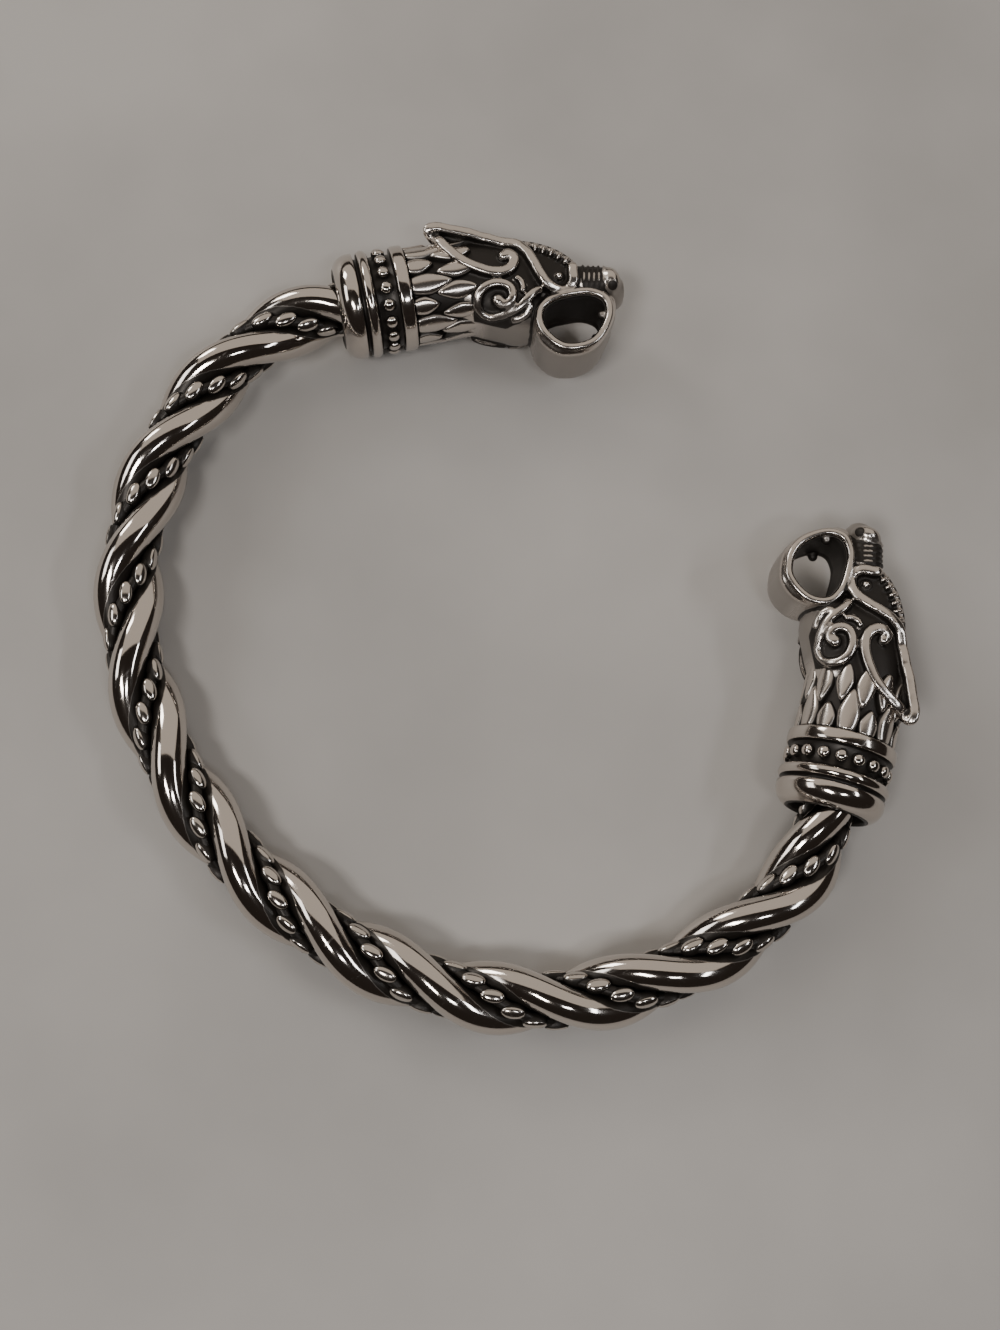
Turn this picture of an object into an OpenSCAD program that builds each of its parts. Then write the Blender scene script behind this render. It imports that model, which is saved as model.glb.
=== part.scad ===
// Viking arm ring: two smooth rods and two wires of oval grains twisted into a
// rope, with a moulded collar and a cast beast head at each end of it.
// The ring lies on its side on a table with its gap towards -Y. Millimetres, +Z up.

/* [Ring] */
// Bend radius of the rope's centre line across the back
back_r = 42; // [34:0.5:52]
// Half of the angle that the back bend takes up
back_deg = 25; // [10:1:40]
// Bend radius of the rope's centre line along each side
side_r = 32; // [26:0.5:38]
// Bend radius of the rope's centre line just before each collar
shoulder_r = 18; // [12:0.5:26]
// Angle by which each end turns in past the ring's widest line
shoulder_deg = 31; // [20:1:38]

/* [Rope] */
// Diameter of each smooth rod
rod_d = 3.25; // [2.4:0.05:3.6]
// Clearance between the two rods where they pass each other
rod_gap = 0.1; // [0.06:0.01:0.2]
// Diameter of a beaded wire over its grains
wire_d = 1.5; // [1.1:0.02:1.6]
// Clearance between a beaded wire and the rods beside it
wire_gap = 0.07; // [0.05:0.01:0.2]
// Diameter of a beaded wire between two grains
wire_waist_d = 1.0; // [0.8:0.02:1.1]
// Distance between two grains along their wire
grain_pitch = 2.25; // [1.9:0.05:3]
// Turns that each strand makes round the rope between the two mouths, right-handed
turns = 6.04392; // [4.5:0.00001:7]
// Angle of the first rod above the right-hand collar's mouth, from the top outward
lay_start = -10; // [-180:1:180]

/* [Collar] */
// Diameter over the torus moulding, the widest part of the collar
collar_d = 10.36; // [9.6:0.05:11.4]
// Diameter over the dome that the rope runs into
dome_d = 10.1; // [9.4:0.05:11]
// Length of the dome from its mouth to the groove beside the torus moulding
dome_l = 2.15; // [1.8:0.05:3]
// Width of the dark groove between dome and torus moulding
groove_w = 0.35; // [0.2:0.05:0.5]
// Thickness of the torus moulding
torus_d = 1.12; // [0.9:0.02:1.3]
// Width of the sunk band that holds the row of beads
band_w = 2.2; // [1.8:0.05:2.8]
// Diameter of the sunk band
band_d = 8.8; // [8.6:0.05:9.2]
// Width of the rim moulding next to the head
rim_w = 1.25; // [0.9:0.05:1.6]
// Diameter of the rim moulding
rim_d = 10.2; // [9.6:0.05:11]
// Diameter of a round bead in the band
bead_d = 1.2; // [0.8:0.02:1.3]
// Number of round beads in the band
bead_n = 18; // [12:1:20]
// Clearance round the rope's ends and round the head's spigot in the collar
socket_gap = 0.12; // [0.06:0.01:0.25]
// Length of the rope's end that is inside the collar
rope_in = 3.2; // [2.4:0.1:3.6]

/* [Head] */
// Length of the head from the collar's rim to the tip of the nose
head_l = 20.74; // [18:0.02:24]
// Height that the profile of the head is drawn to, from crest side to throat side
head_h = 10; // [9:0.1:11]
// Width of the head across its cheeks
head_w = 8.8; // [8:0.1:9.4]
// Diameter of the neck where it meets the collar
neck_d = 9.0; // [8.4:0.05:9.6]
// Width of the jaw loop
jaw_w = 6.6; // [5.6:0.1:7.6]
// Thickness of the ear plates
ear_t = 1.5; // [1:0.1:2]
// Thickness of the raised scroll lines
line_d = 0.88; // [0.6:0.02:1]
// Number of leaves in each of the two rows round the neck
leaf_n = 12; // [10:1:16]
// Height of a leaf above the neck
leaf_rise = 0.3; // [0.2:0.05:0.5]
// Length of the head's spigot in the collar
spigot_l = 2.5; // [1.6:0.1:2.8]
// Clearance between the collar's rim and the neck
neck_gap = 0.06; // [0.05:0.01:0.2]

/* [Output] */
// Which piece to make

/* [Hidden] */

// The centre line runs from the middle of the back to a collar's mouth in three bends
back_l = back_r * back_deg * PI/180;
side_l = side_r * (90 - back_deg) * PI/180;
shoulder_l = shoulder_r * shoulder_deg * PI/180;
half_l = back_l + side_l + shoulder_l;
// Length of rope in which each strand goes round once
lay = 2*half_l / turns;

steel = [0.72, 0.71, 0.69];
bright = [0.82, 0.81, 0.79];
dark = [0.42, 0.41, 0.40];

// The rods lie side by side on the rope's centre line
rod_r = rod_d / 2;
rod_off = (rod_d + rod_gap) / 2;
rope_r = rod_off + rod_r;

// A wire sits in the groove as deep as the rods let it. The nearest point of a
// rod is a little ahead of the wire along the rope, so the depth is searched for.
function helix_gap2(q, dz) = rod_off^2 + q^2 - 2*rod_off*q*sin(360*dz/lay) + dz^2;
function helix_gap(q) = sqrt(min([for (dz = [0:lay/200:lay/8]) helix_gap2(q, dz)]));
wire_need = rod_r + wire_d/2 + wire_gap;
wire_off = min([for (q = [rod_off*0.8:0.02:rod_off*2.2]) if (helix_gap(q) >= wire_need) q]);

function along(h) = [cos(h), sin(h)];
function bend(p, r, h0, h1) = p + r*[sin(h1) - sin(h0), cos(h0) - cos(h1)];
back_end = bend([0, 0], back_r, 0, back_deg);
side_end = bend(back_end, side_r, back_deg, 90);
mouth_h = 90 + shoulder_deg;
mouth = bend(side_end, shoulder_r, 90, mouth_h);

// Heading in degrees and place of the centre line at a distance s from the back
function heading(s) =
    s < back_l ? s/back_r * 180/PI :
    s < back_l + side_l ? back_deg + (s - back_l)/side_r * 180/PI :
    s < half_l ? 90 + (s - back_l - side_l)/shoulder_r * 180/PI :
    mouth_h;
function place(s) =
    s < back_l ? bend([0, 0], back_r, 0, heading(s)) :
    s < back_l + side_l ? bend(back_end, side_r, back_deg, heading(s)) :
    s < half_l ? bend(side_end, shoulder_r, 90, heading(s)) :
    mouth + (s - half_l) * along(mouth_h);

// The same for the whole rope, with s from the right-hand mouth round to the left-hand one.
// The back is at +Y: a point of the half line at [x, y] goes to [+x or -x, -y].
function rope_point(s) =
    let (w = half_l - s, p = place(abs(w)), k = w < 0 ? -1 : 1)
    [k*p[0], -p[1], 0];
function rope_dir(s) =
    let (w = half_l - s, h = heading(abs(w)), k = w < 0 ? -1 : 1)
    [-cos(h), k*sin(h), 0];
function rope_side(s) = cross(rope_dir(s), [0, 0, 1]);

// Lengths along a collar's axis, from its mouth at 0 towards the head
torus_at = dome_l + groove_w + torus_d/2;
band_at = torus_at + torus_d/2;
rim_at = band_at + band_w;
collar_l = rim_at + rim_w;
bore_r = rope_r + socket_gap;

// The ring rests on both torus mouldings and on the rope at the back
torus_y = mouth[1] + torus_at * sin(mouth_h);
rest_deg = atan((collar_d/2 - rope_r) / torus_y);
rest_z = rope_r * cos(rest_deg);
nose_y = mouth[1] + (collar_l + head_l) * sin(mouth_h) + 0.18*head_h*cos(mouth_h);
mid_y = (nose_y - rope_r) / 2;

module rest() {
    translate([0, mid_y, rest_z])
        rotate([-rest_deg, 0, 0])
            children();
}

// One end of the ring: x runs on along the collar from its mouth, y points outward
module end(k) {
    rest()
        translate([k*mouth[0], -mouth[1], 0])
            rotate([0, 0, k > 0 ? -mouth_h : mouth_h - 180])
                rotate([k > 0 ? 0 : 180, 0, 0])
                    children();
}

// A closed solid through rings of points, each ring with the same number of them
module skin(rings) {
    n = len(rings[0]);
    m = len(rings);
    polyhedron(
        points = [for (r = rings) each r],
        faces = concat(
            [[for (k = [0:n-1]) k]],
            [[for (k = [n-1:-1:0]) (m-1)*n + k]],
            [for (i = [0:m-2]) for (k = [0:n-1]) [i*n + k, (i+1)*n + k, (i+1)*n + (k+1)%n]],
            [for (i = [0:m-2]) for (k = [0:n-1]) [i*n + k, (i+1)*n + (k+1)%n, i*n + (k+1)%n]]
        )
    );
}

function unit(v) = v / norm(v);
function mix(a, b, f) = a + (b - a)*f;

// A strand's centre at distance s, turned by its own phase round the rope
function strand_up(s, phase) =
    let (a = 360*s/lay + lay_start + phase)
    [0, 0, cos(a)] + sin(a)*rope_side(s);
function strand_point(s, off, phase) = rope_point(s) + off*strand_up(s, phase);

// A ring of points square to a strand, a flat side of it towards the rope's middle
function strand_ring(s, off, phase, r, n) =
    let (
        c = strand_point(s, off, phase),
        t = unit(strand_point(s + 0.05, off, phase) - strand_point(s - 0.05, off, phase)),
        u0 = strand_up(s, phase),
        u = unit(u0 - (u0*t)*t),
        v = cross(t, u)
    )
    [for (k = [0:n-1]) let (a = (k + 0.5)*360/n) c + r*(cos(a)*u + sin(a)*v)];

rope_from = -rope_in;
rope_to = 2*half_l + rope_in;

module smooth_rod(phase) {
    steps = round((rope_to - rope_from) / lay * 10.5);
    skin([for (i = [0:steps])
        strand_ring(mix(rope_from, rope_to, i/steps), rod_off, phase, rod_r, 10)]);
}

// Each grain swells from one narrow ring to a wide one and back to the next
module beaded_wire(phase) {
    turn_l = sqrt(lay^2 + (2*PI*wire_off)^2);
    grains = round((rope_to - rope_from) / lay * turn_l / grain_pitch);
    skin([for (i = [0:2*grains])
        strand_ring(mix(rope_from, rope_to, i/(2*grains)), wire_off, phase,
            i % 2 == 0 ? wire_waist_d/2 : wire_d/2, 10)]);
}

// Turns a shape drawn upwards so that it runs along the end's axis
module lathe(x) {
    translate([x, 0, 0])
        rotate([0, 90, 0])
            children();
}

module collar() {
    dome_r = dome_l * 0.78;
    difference() {
        union() {
            lathe(dome_r)
                rotate_extrude($fn = 64)
                    translate([dome_d/2 - dome_r, 0])
                        circle(r = dome_r, $fn = 48);
            lathe(dome_r)
                cylinder(h = dome_l - dome_r, d = dome_d, $fn = 64);
            lathe(dome_l - 0.5)
                cylinder(h = collar_l - dome_l, d = band_d, $fn = 64);
            lathe(torus_at)
                rotate_extrude($fn = 64)
                    translate([collar_d/2 - torus_d/2, 0])
                        circle(d = torus_d, $fn = 32);
            lathe(rim_at)
                rotate_extrude($fn = 64)
                    polygon([
                        [band_d/2 - 0.4, 0],
                        [rim_d/2 - 0.15, 0],
                        [rim_d/2, 0.2*rim_w],
                        [rim_d/2, 0.7*rim_w],
                        [rim_d/2 - 0.25, rim_w],
                        [band_d/2 - 0.4, rim_w]
                    ]);
            for (k = [0:bead_n-1])
                rotate([(k + 0.5)*360/bead_n, 0, 0])
                    translate([band_at + band_w/2, 0, band_d/2 + 0.1*bead_d])
                        sphere(d = bead_d, $fn = 24);
        }
        lathe(-1)
            cylinder(h = collar_l + 2, r = bore_r, $fn = 64);
    }
}

// Sections of the head from the collar's rim to the nose.
// Columns: place along head_l, top and bottom as shares of head_h, half width as a
// share of head_w/2. The first section is the round neck.
head_sections = [
    [0.00, 0.43, -0.43, 0.98],
    [0.125, 0.43, -0.44, 0.98],
    [0.26, 0.41, -0.48, 0.98],
    [0.38, 0.35, -0.59, 0.96],
    [0.48, 0.28, -0.69, 0.92],
    [0.55, 0.26, -0.72, 0.86],
    [0.615, 0.24, -0.50, 0.78],
    [0.695, 0.17, -0.42, 0.72],
    [0.77, 0.04, -0.41, 0.69],
    [0.82, -0.05, -0.42, 0.67],
    [0.905, -0.09, -0.45, 0.65],
    [0.96, -0.15, -0.47, 0.60],
    [1.00, -0.24, -0.43, 0.45]
];

function hx(f) = collar_l + neck_gap + f*(head_l - neck_gap);
function hy(f) = f*head_h;
function hz(f) = f*head_w/2;
function head_top(f) = lookup(f, [for (r = head_sections) [r[0], r[1]]]);
function head_low(f) = lookup(f, [for (r = head_sections) [r[0], r[2]]]);
function head_half(f) = lookup(f, [for (r = head_sections) [r[0], r[3]]]);

// The head's side surface as a share of the half width, at a place along and a height
function head_side(f, g) =
    let (
        m = (head_top(f) + head_low(f)) / 2,
        w = (head_top(f) - head_low(f)) / 2,
        q = min(0.97, abs(g - m) / w)
    )
    head_half(f) * pow(1 - pow(q, 2.5), 0.4);

function head_ring(r, n) =
    [for (k = [0:n-1])
        let (
            a = k*360/n,
            c = sign(cos(a))*pow(abs(cos(a)), 0.85),
            s = sign(sin(a))*pow(abs(sin(a)), 0.85),
            m = (r[1] + r[2])/2,
            w = (r[1] - r[2])/2
        )
        [hx(r[0]), hy(m + w*c), hz(r[3]*s)]];

// A raised line through points [along, height, lift], all shares; lift goes on top of
// the head's side, and the line's thickness tapers towards its ends by tip
function line_points(p) =
    [for (q = p) [hx(q[0]), hy(q[1]), hz(head_side(q[0], q[1]) + q[2])]];
module raised_line(p, d, tip) {
    c = line_points(p);
    m = len(c) - 1;
    skin([for (i = [0:m])
        let (
            t = unit(c[min(m, i+1)] - c[max(0, i-1)]),
            v = unit(cross(t, [0, 0, 1])),
            u = cross(v, t),
            r = d/2 * (i == 0 || i == m ? tip : 1)
        )
        [for (j = [0:3]) let (a = (j + 0.5)*90) c[i] + r*(cos(a)*v - sin(a)*u)]]);
}

// Ear rim, from the curl at its front over the tip and on as the ridge round the eye
ear_rim = [
    [0.45, 0.07, 0.12], [0.48, 0.06, 0.12], [0.495, 0.01, 0.12], [0.47, -0.08, 0.09],
    [0.42, -0.10, 0.09], [0.345, -0.03, 0.10], [0.26, 0.09, 0.13], [0.21, 0.24, 0.22],
    [0.17, 0.40, 0.48], [0.14, 0.51, 0.64], [0.21, 0.46, 0.58], [0.305, 0.39, 0.48],
    [0.41, 0.30, 0.34], [0.50, 0.22, 0.22], [0.56, 0.14, 0.10], [0.585, 0.00, 0.05],
    [0.61, -0.17, 0.04], [0.645, -0.29, 0.04], [0.695, -0.33, 0.06], [0.745, -0.32, 0.06],
    [0.76, -0.22, 0.05], [0.775, -0.09, 0.03]
];
// Scroll on the cheek, from its tip by the jaw round to the bulb in its middle
scroll = [
    [0.615, -0.31, 0.03], [0.55, -0.39, 0.05], [0.48, -0.485, 0.06], [0.40, -0.52, 0.06],
    [0.325, -0.49, 0.06], [0.29, -0.40, 0.05], [0.305, -0.29, 0.05], [0.355, -0.21, 0.05],
    [0.42, -0.205, 0.05], [0.46, -0.28, 0.06], [0.455, -0.38, 0.07], [0.42, -0.43, 0.08],
    [0.39, -0.40, 0.10]
];
// Short tendrils beside the scroll
tendrils = [
    [[0.485, -0.16, 0.02], [0.515, -0.24, 0.04], [0.51, -0.33, 0.02]],
    [[0.26, -0.38, 0.03], [0.315, -0.51, 0.05], [0.42, -0.56, 0.06], [0.52, -0.51, 0.03]]
];

// Outline of the jaw loop and of the hole through it: along and height shares
jaw_outline = [
    [0.535, -0.55], [0.54, -0.82], [0.60, -0.97], [0.685, -1.03], [0.76, -1.00],
    [0.835, -0.89], [0.91, -0.70], [0.94, -0.53], [0.895, -0.37], [0.76, -0.33], [0.605, -0.35]
];
jaw_hole = [
    [0.585, -0.57], [0.60, -0.49], [0.655, -0.43], [0.75, -0.41], [0.825, -0.43],
    [0.87, -0.52], [0.87, -0.62], [0.83, -0.76], [0.77, -0.87], [0.71, -0.91],
    [0.655, -0.88], [0.60, -0.77], [0.58, -0.67]
];

module head_body() {
    skin([for (r = head_sections) head_ring(r, 12)]);
}

// The spigot that is fixed in the collar
module spigot() {
    lathe(collar_l - spigot_l)
        cylinder(h = spigot_l + neck_gap + 0.8, r = bore_r - socket_gap, $fn = 16);
}

// A leaf is a low hipped ridge that lies along the neck
module leaf(f0, f1) {
    r0 = neck_d/2 - 0.45;
    r1 = neck_d/2 + leaf_rise;
    w = PI*neck_d/leaf_n*0.6;
    hull()
        polyhedron(
            points = [
                [hx(f0), 0, r0],
                [hx(mix(f0, f1, 0.45)), -w, r0],
                [hx(f1), 0, r0],
                [hx(mix(f0, f1, 0.45)), w, r0],
                [hx(mix(f0, f1, 0.15)), 0, r1],
                [hx(mix(f0, f1, 0.75)), 0, r1]
            ],
            faces = [
                [0, 1, 2, 3], [0, 4, 1], [1, 4, 5], [1, 5, 2], [0, 3, 4], [3, 5, 4], [3, 2, 5]
            ]
        );
}

module neck_leaves() {
    for (k = [0:leaf_n-1]) {
        rotate([k*360/leaf_n, 0, 0])
            leaf(0.01, 0.19);
        rotate([(k + 0.5)*360/leaf_n, 0, 0])
            leaf(0.13, 0.3);
    }
}

// Plate of an ear under its raised rim
module ear_plate() {
    c = line_points([for (i = [4, 6, 8, 9, 11, 13]) ear_rim[i]]);
    hull()
        for (p = c)
            translate([p[0], p[1], p[2] - ear_t/2])
                cylinder(h = ear_t - 0.3, r = 0.2, $fn = 3, center = true);
}

// The brow is a comb of short teeth along the edge of the crown over each eye
module brow() {
    for (i = [0:4]) {
        f = mix(0.625, 0.77, i/4);
        translate([hx(f), hy(head_top(f)) - 0.35, hz(0.5)])
            rotate([0, 0, mix(-30, -50, i/4)])
                cube([0.42, 0.9, 1.3], center = true);
    }
}

module nose() {
    for (f = [0.81, 0.845, 0.88, 0.915])
        translate([hx(f), hy(head_top(f)), 0])
            cube([0.35, 0.4, 2.2], center = true);
}

module jaw() {
    hull() {
        linear_extrude(height = jaw_w - 1.4, center = true)
            polygon([for (p = jaw_outline) [hx(p[0]), hy(p[1])]]);
        linear_extrude(height = jaw_w, center = true)
            polygon([for (p = jaw_outline)
                [hx(mix(p[0], 0.73, 0.13)), hy(mix(p[1], -0.66, 0.13))]]);
    }
}

module jaw_hole_cut() {
    linear_extrude(height = 2*head_w, center = true)
        polygon([for (p = jaw_hole) [hx(p[0]), hy(p[1])]]);
}

// Raised rim round the hole, on the jaw loop's side
module jaw_rim() {
    hull()
        for (q = jaw_hole)
            translate([hx(mix(q[0], 0.73, -0.16)), hy(mix(q[1], -0.66, -0.16)), jaw_w/2 - 0.35])
                cylinder(h = line_d/2 + 0.35, r1 = line_d/2, r2 = line_d/4, $fn = 4);
}

module head_side_relief() {
    ear_plate();
    raised_line(ear_rim, line_d, 0.7);
    raised_line(scroll, line_d, 0.8);
    for (p = tendrils)
        raised_line(p, line_d*0.85, 0.4);
    brow();
    jaw_rim();
    translate([hx(0.705), hy(-0.19), hz(head_side(0.705, -0.19))])
        sphere(r = 0.42, $fn = 6);
    translate([hx(0.955), hy(-0.29), hz(0.28)])
        sphere(r = 0.9, $fn = 8);
}

module head() {
    difference() {
        union() {
            head_body();
            spigot();
            neck_leaves();
            nose();
            jaw();
            for (k = [0, 1])
                mirror([0, 0, k])
                    head_side_relief();
        }
        jaw_hole_cut();
    }
}

module smooth_rod_a() {
    color(bright)
        rest()
            smooth_rod(0);
}

module smooth_rod_b() {
    color(bright)
        rest()
            smooth_rod(180);
}

module beaded_wire_a() {
    color(dark)
        rest()
            beaded_wire(90);
}

module beaded_wire_b() {
    color(dark)
        rest()
            beaded_wire(270);
}

module collar_left() {
    color(steel)
        end(-1)
            collar();
}

module collar_right() {
    color(steel)
        end(1)
            collar();
}

module head_left() {
    color(steel)
        end(-1)
            head();
}

module head_right() {
    color(steel)
        end(1)
            head();
}

smooth_rod_a();
smooth_rod_b();
beaded_wire_a();
beaded_wire_b();
collar_left();
collar_right();
head_left();
head_right();
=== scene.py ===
import math
import bpy
import numpy as np
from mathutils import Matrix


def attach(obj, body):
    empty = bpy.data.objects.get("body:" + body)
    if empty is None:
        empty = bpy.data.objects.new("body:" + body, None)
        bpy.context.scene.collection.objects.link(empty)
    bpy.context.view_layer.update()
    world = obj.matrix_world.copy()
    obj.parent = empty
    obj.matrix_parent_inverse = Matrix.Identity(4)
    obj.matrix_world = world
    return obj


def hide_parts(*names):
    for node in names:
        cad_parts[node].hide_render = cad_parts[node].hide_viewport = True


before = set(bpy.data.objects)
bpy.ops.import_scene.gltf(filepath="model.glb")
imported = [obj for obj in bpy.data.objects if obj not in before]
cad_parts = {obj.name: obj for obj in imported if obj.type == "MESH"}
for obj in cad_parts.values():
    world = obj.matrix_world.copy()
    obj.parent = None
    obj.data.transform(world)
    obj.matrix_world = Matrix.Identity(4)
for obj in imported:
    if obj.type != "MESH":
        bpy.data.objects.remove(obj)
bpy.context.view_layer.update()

# Smooth rods. Two round steel rods lie side by side and are twisted into a
# right-handed rope. They are polished by wear on top and stay black from the
# darkening bath where they dip in beside the beaded wires.
BACK_R, BACK_DEG = 42.0, 25.0
SIDE_R = 32.0
SHOULDER_R, SHOULDER_DEG = 18.0, 31.0
ROPE_R = 3.30
ROD_R, ROD_OFF = 1.59, 1.65
LAY, LAY_START = 21.3, -10.0
ROPE_IN = 3.2
MOUTH_H = 90.0 + SHOULDER_DEG


def bend(start, radius, h0, h1):
    """A bend from heading h0 to h1 in degrees: start + r (sin h1 - sin h0, cos h0 - cos h1)."""
    a, b = np.radians(h0), np.radians(h1)
    return start + radius * np.stack([np.sin(b) - np.sin(a), np.cos(a) - np.cos(b)], -1)


BACK_END = bend(np.zeros(2), BACK_R, 0.0, BACK_DEG)
SIDE_END = bend(BACK_END, SIDE_R, BACK_DEG, 90.0)
MOUTH = bend(SIDE_END, SHOULDER_R, 90.0, MOUTH_H)
BACK_L = BACK_R * math.radians(BACK_DEG)
SIDE_L = SIDE_R * math.radians(90.0 - BACK_DEG)
HALF_L = BACK_L + SIDE_L + SHOULDER_R * math.radians(SHOULDER_DEG)


def half_line(s):
    """Heading and place at distance s from the middle of the back: three bends, then straight on."""
    h1 = np.degrees(s / BACK_R)
    h2 = BACK_DEG + np.degrees((s - BACK_L) / SIDE_R)
    h3 = 90.0 + np.degrees((s - BACK_L - SIDE_L) / SHOULDER_R)
    parts = [s < BACK_L, s < BACK_L + SIDE_L, s < HALF_L]
    heading = np.select(parts, [h1, h2, h3], MOUTH_H)
    on = np.radians(MOUTH_H)
    straight = MOUTH + (s - HALF_L)[:, None] * np.array([math.cos(on), math.sin(on)])
    bends = [bend(np.zeros(2), BACK_R, 0.0 * s, h1), bend(BACK_END, SIDE_R, BACK_DEG + 0.0 * s, h2),
             bend(SIDE_END, SHOULDER_R, 90.0 + 0.0 * s, h3)]
    place = np.select([p[:, None] for p in parts], bends, straight)
    return heading, place


def rope_line(s):
    """Points, headings and outward sides of the rope, s counted from the right-hand mouth."""
    w = HALF_L - s
    heading, place = half_line(np.abs(w))
    k = np.where(w < 0, -1.0, 1.0)
    h = np.radians(heading)
    zero = np.zeros_like(s)
    points = np.stack([k * place[:, 0], -place[:, 1], zero], -1)
    ahead = np.stack([-np.cos(h), k * np.sin(h), zero], -1)
    return points, ahead, np.cross(ahead, [0.0, 0.0, 1.0])


# Lengths and radius of the collar and size of the head, which decide how the ring lies.
DOME_L, GROOVE_W, TORUS_D = 2.15, 0.35, 1.12
COLLAR_L, COLLAR_R = 7.07, 5.18
HEAD_L, HEAD_H = 20.74, 10.0
TORUS_AT = DOME_L + GROOVE_W + TORUS_D / 2
REST = math.atan((COLLAR_R - ROPE_R) / (MOUTH[1] + TORUS_AT * math.sin(math.radians(MOUTH_H))))
NOSE_Y = (MOUTH[1] + (COLLAR_L + HEAD_L) * math.sin(math.radians(MOUTH_H))
          + 0.18 * HEAD_H * math.cos(math.radians(MOUTH_H)))


def lay_down(p):
    """Tips the flat ring back by REST and lifts it, so that it lies on both collars and its back."""
    c, s = math.cos(REST), math.sin(REST)
    return np.stack([p[:, 0], p[:, 1] * c + p[:, 2] * s + (NOSE_Y - ROPE_R) / 2,
                     -p[:, 1] * s + p[:, 2] * c + ROPE_R * c], -1)


def strand_centre(s, off, phase):
    """Centre line + off (cos a up + sin a outward), where a grows by a full turn in each lay."""
    points, ahead, side = rope_line(s)
    a = np.radians(360.0 * s / LAY + LAY_START + phase)[:, None]
    up = np.cos(a) * np.array([0.0, 0.0, 1.0]) + np.sin(a) * side
    return points + off * up, up, ahead


def unit(v):
    """Rows of v scaled to length one."""
    return v / np.linalg.norm(v, axis=1)[:, None]


def square_to(up, t):
    """up less its share along t, as unit rows."""
    return unit(up - np.einsum("ij,ij->i", up, t)[:, None] * t)


def bulged(c, power):
    """|c| ** power with the sign of c. On cos and sin a power below 1 squares a round section."""
    return np.sign(c) * np.abs(c) ** power


def tube_faces(rings, round_it):
    """Quads between neighbouring rings of a grid, and a fan round a pole point at each end."""
    i = np.arange(rings - 1)[:, None] * round_it
    j = np.arange(round_it)[None]
    k = (j + 1) % round_it
    quads = np.stack([i + j, i + k, i + round_it + k, i + round_it + j], -1).reshape(-1, 4)
    last = (rings - 1) * round_it
    pole = rings * round_it
    fans = np.concatenate([
        np.stack([np.full(round_it, pole), k[0], j[0]], -1),
        np.stack([np.full(round_it, pole + 1), last + j[0], last + k[0]], -1)])
    return quads, fans


def tube(centres, across, over, rx, ry, round_it, power=1.0):
    """Carries an oval along centres: c + rx cos(v) ** power across + ry sin(v) ** power over, closed by
    two poles."""
    v = np.linspace(0, 2 * np.pi, round_it, endpoint=False)
    rx, ry, power = (np.broadcast_to(value, len(centres))[:, None] for value in (rx, ry, power))
    cv = rx * bulged(np.cos(v), power)
    sv = ry * bulged(np.sin(v), power)
    grid = centres[:, None] + cv[..., None] * across[:, None] + sv[..., None] * over[:, None]
    verts = np.concatenate([grid.reshape(-1, 3), centres[:1], centres[-1:]])
    quads, fans = tube_faces(len(centres), round_it)
    return turned_out(verts, quads, fans)


def turned_out(verts, quads, tris):
    """Turns all faces round if the volume that they enclose comes out negative."""
    t = np.concatenate([quads[:, [0, 1, 2]], quads[:, [0, 2, 3]], tris])
    a, b, c = verts[t[:, 0]], verts[t[:, 1]], verts[t[:, 2]]
    if np.einsum("ij,ij->i", a, np.cross(b, c)).sum() < 0:
        quads, tris = quads[:, ::-1], tris[:, ::-1]
    return verts, quads, tris


def joined(parts):
    """Several closed surfaces as one list of points, quads and triangles."""
    start = np.cumsum([0] + [len(p[0]) for p in parts[:-1]])
    return (np.concatenate([p[0] for p in parts]),
            np.concatenate([p[1] + s for p, s in zip(parts, start)]),
            np.concatenate([p[2] + s for p, s in zip(parts, start)]))


def fill_mesh(mesh, verts, quads, tris):
    """Writes whole arrays of points, quads and triangles into a mesh."""
    loops = np.concatenate([quads.ravel(), tris.ravel()]).astype(np.int32)
    total = np.concatenate([np.full(len(quads), 4), np.full(len(tris), 3)]).astype(np.int32)
    mesh.vertices.add(len(verts))
    mesh.vertices.foreach_set("co", verts.astype(np.float32).ravel())
    mesh.loops.add(len(loops))
    mesh.loops.foreach_set("vertex_index", loops)
    mesh.polygons.add(len(total))
    mesh.polygons.foreach_set("loop_start", (np.cumsum(total) - total).astype(np.int32))
    mesh.polygons.foreach_set("use_smooth", np.ones(len(total), bool))
    mesh.update(calc_edges=True)
    mesh.validate()


def steel_piece(name, verts, quads, tris, black, material, node, slot):
    """A finished piece: its mesh in metres, how black each point is, its material and its node."""
    mesh = bpy.data.meshes.new(name)
    fill_mesh(mesh, verts * 0.001, quads, tris)
    mesh.attributes.new("black", "FLOAT", "POINT").data.foreach_set("value", black.astype(np.float32))
    piece = bpy.data.objects.new(name, mesh)
    bpy.context.scene.collection.objects.link(piece)
    mesh.materials.append(material)
    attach(piece, "root")
    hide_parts(node)
    return piece


def step(x, low, high):
    """0 below low, 1 above high, and 3t2 - 2t3 between."""
    t = np.clip((x - low) / (high - low), 0, 1)
    return t * t * (3 - 2 * t)


def group_with(name, inputs, outputs):
    """An empty shader node group with the named sockets."""
    group = bpy.data.node_groups.new(name, "ShaderNodeTree")
    for label, kind, value in inputs:
        socket = group.interface.new_socket(label, in_out="INPUT", socket_type=kind)
        socket.default_value = value
    for label, kind in outputs:
        group.interface.new_socket(label, in_out="OUTPUT", socket_type=kind)
    return group, group.nodes.new("NodeGroupInput"), group.nodes.new("NodeGroupOutput")


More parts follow.
